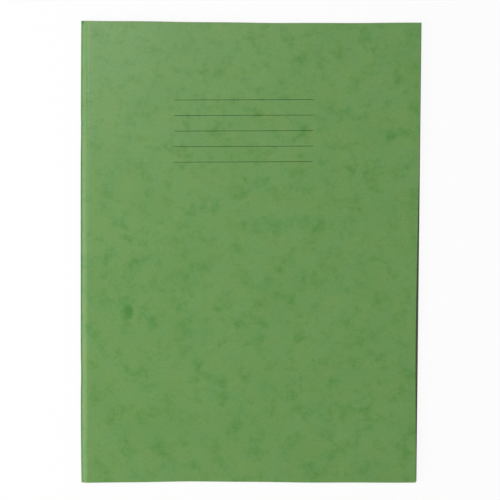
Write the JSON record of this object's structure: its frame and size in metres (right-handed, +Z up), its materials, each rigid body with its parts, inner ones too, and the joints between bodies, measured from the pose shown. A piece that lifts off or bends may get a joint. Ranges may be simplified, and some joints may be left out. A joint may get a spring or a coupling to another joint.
{
  "type": "notebook",
  "caption": "Closed A4-plus exercise notebook with a wrap-around green pressboard cover, folded sheets and wire staples; the front leaves and cover open.",
  "frame": {"origin": "middle of the footprint, on the underside of the back cover", "axes": "+Y to the head of the page, along the spine; +Z up out of the front cover; the spine is on the -X side"},
  "size_m": [0.23, 0.315, 0.006],
  "materials": {
    "pressboard": "satin, glazed, mottled green",
    "paper": "matt, uncoated, off-white, ruled",
    "staple_wire": "drawn, galvanised"
  },
  "bodies": {
    "back": {"cover_back": "pressboard", "sheet_01_rear_leaf": "paper", "sheet_02_rear_leaf": "paper", "sheet_03_rear_leaf": "paper", "sheet_04_rear_leaf": "paper", "sheet_05_rear_leaf": "paper", "sheet_06_rear_leaf": "paper", "sheet_07_rear_leaf": "paper", "sheet_08_rear_leaf": "paper", "sheet_09_rear_leaf": "paper", "sheet_10_rear_leaf": "paper", "sheet_11_rear_leaf": "paper", "sheet_12_rear_leaf": "paper", "sheet_13_rear_leaf": "paper", "sheet_14_rear_leaf": "paper", "sheet_15_rear_leaf": "paper", "sheet_16_rear_leaf": "paper"},
    "spine": {"cover_spine": "pressboard", "staple_head": "staple_wire", "staple_foot": "staple_wire", "sheet_01_fold": "paper", "sheet_02_fold": "paper", "sheet_03_fold": "paper", "sheet_04_fold": "paper", "sheet_05_fold": "paper", "sheet_06_fold": "paper", "sheet_07_fold": "paper", "sheet_08_fold": "paper", "sheet_09_fold": "paper", "sheet_10_fold": "paper", "sheet_11_fold": "paper", "sheet_12_fold": "paper", "sheet_13_fold": "paper", "sheet_14_fold": "paper", "sheet_15_fold": "paper", "sheet_16_fold": "paper"},
    "front_leaves": {"sheet_01_front_leaf": "paper", "sheet_02_front_leaf": "paper", "sheet_03_front_leaf": "paper", "sheet_04_front_leaf": "paper", "sheet_05_front_leaf": "paper", "sheet_06_front_leaf": "paper", "sheet_07_front_leaf": "paper", "sheet_08_front_leaf": "paper", "sheet_09_front_leaf": "paper", "sheet_10_front_leaf": "paper", "sheet_11_front_leaf": "paper", "sheet_12_front_leaf": "paper", "sheet_13_front_leaf": "paper", "sheet_14_front_leaf": "paper", "sheet_15_front_leaf": "paper", "sheet_16_front_leaf": "paper"},
    "front_cover": {"cover_front": "pressboard"}
  },
  "joints": [
    {"name": "leaves_turn", "type": "hinge", "parent": "back", "child": "front_leaves", "pos_m": [-0.11148, 0, 0.00302], "axis": [0, -1, 0], "range_deg": [0, 178]},
    {"name": "spine_roll", "type": "hinge", "parent": "back", "child": "spine", "pos_m": [-0.11148, 0, 0.00302], "axis": [0, -1, 0], "range_deg": [0, 89], "deforming": ["cover_spine", "sheet_01_fold", "sheet_02_fold", "sheet_03_fold", "sheet_04_fold", "sheet_05_fold", "sheet_06_fold", "sheet_07_fold", "sheet_08_fold", "sheet_09_fold", "sheet_10_fold", "sheet_11_fold", "sheet_12_fold", "sheet_13_fold", "sheet_14_fold", "sheet_15_fold", "sheet_16_fold"]},
    {"name": "cover_turn", "type": "hinge", "parent": "front_leaves", "child": "front_cover", "pos_m": [-0.10905, 0, 0.00634], "axis": [0, -1, 0], "range_deg": [0, 178]}
  ],
  "couplings": [
    {"joint": "spine_roll", "follows": "leaves_turn", "ratio": 0.5}
  ]
}
